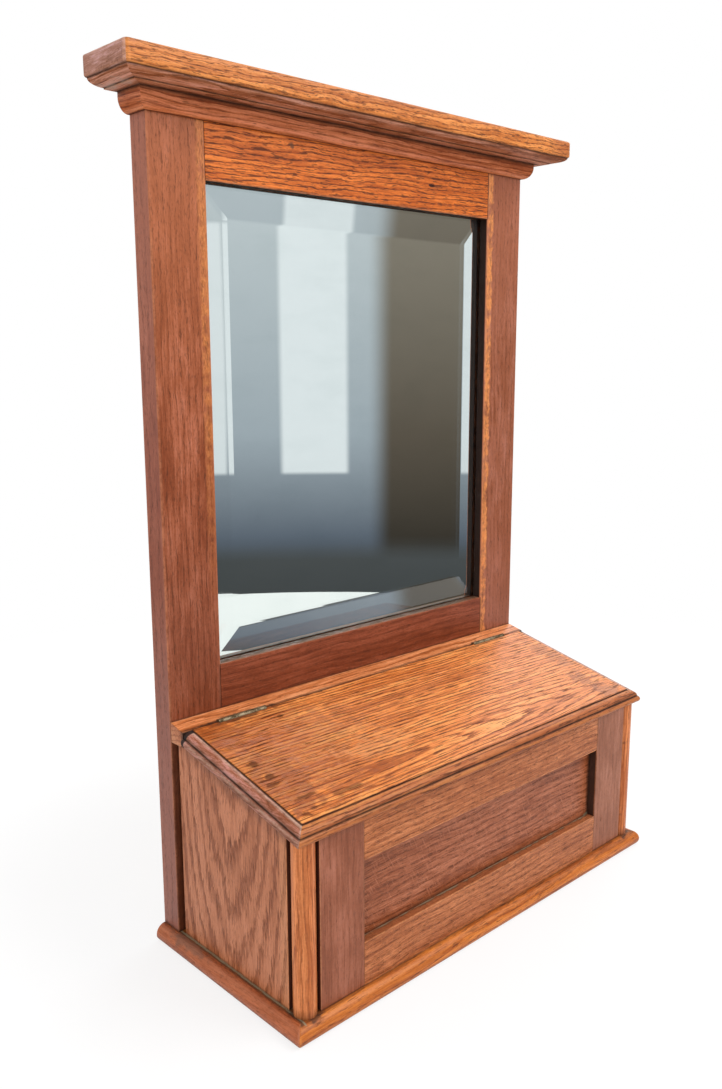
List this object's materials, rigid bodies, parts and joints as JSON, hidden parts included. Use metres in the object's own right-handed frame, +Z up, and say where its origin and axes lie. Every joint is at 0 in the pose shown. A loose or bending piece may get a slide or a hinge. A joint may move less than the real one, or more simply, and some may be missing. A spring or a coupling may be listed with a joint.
{
  "type": "wall mirror with storage box",
  "caption": "Oak wall mirror with a moulded cornice and bevelled plate above a storage box that has a sloping hinged lid.",
  "frame": {"origin": "middle of the bounding box on the floor, under the base board", "axes": "+Z up, +Y towards the wall, +X to the right for someone who stands in front of the mirror; the front faces -Y"},
  "size_m": [0.53, 0.2, 0.735],
  "materials": {
    "oak_base": "varnished oak, satin",
    "oak_side": "varnished oak, satin",
    "oak_bead": "varnished oak, satin",
    "oak_front_stile": "varnished oak, satin",
    "oak_front_rail": "varnished oak, satin",
    "oak_panel": "varnished oak, satin",
    "oak_stile": "varnished oak, satin",
    "oak_top_rail": "varnished oak, satin",
    "oak_bottom_rail": "varnished oak, satin",
    "oak_cornice": "varnished oak, satin",
    "oak_moulding": "varnished oak, satin",
    "oak_hinge_rail": "varnished oak, satin",
    "oak_lid": "varnished oak, satin",
    "pine": "unfinished softwood, aged",
    "mirror": "silvered bevelled plate",
    "brass": "aged brass, dull",
    "brass_screw": "aged brass",
    "steel": "darkened mild steel"
  },
  "bodies": {
    "cabinet": {"base_board": "oak_base", "base_screws": "steel", "left_side_panel": "oak_side", "right_side_panel": "oak_side", "left_corner_bead": "oak_bead", "right_corner_bead": "oak_bead", "corner_glue_blocks": "pine", "front_left_stile": "oak_front_stile", "front_right_stile": "oak_front_stile", "front_top_rail": "oak_front_rail", "front_bottom_rail": "oak_front_rail", "front_panel": "oak_panel", "left_stile": "oak_stile", "right_stile": "oak_stile", "top_rail": "oak_top_rail", "bottom_rail": "oak_bottom_rail", "box_back_panel": "pine", "mirror_plate": "mirror", "mirror_backboard": "pine", "back_nails": "steel", "cornice_board": "oak_cornice", "cornice_nails": "steel", "cornice_ovolo_front": "oak_moulding", "cornice_ovolo_left": "oak_moulding", "cornice_ovolo_right": "oak_moulding", "bed_mould_front": "oak_moulding", "bed_mould_left": "oak_moulding", "bed_mould_right": "oak_moulding", "hinge_rail": "oak_hinge_rail", "left_rail_leaf": "brass", "left_hinge_pin": "steel", "right_rail_leaf": "brass", "right_hinge_pin": "steel", "rail_leaf_screws": "brass_screw"},
    "lid": {"lid_board": "oak_lid", "left_lid_leaf": "brass", "right_lid_leaf": "brass", "lid_leaf_screws": "brass_screw"}
  },
  "joints": [
    {"name": "lid_hinge", "type": "hinge", "parent": "cabinet", "child": "lid", "pos_m": [0, 0.05765, 0.20622], "axis": [-1, 0, 0], "range_deg": [0, 110]}
  ]
}
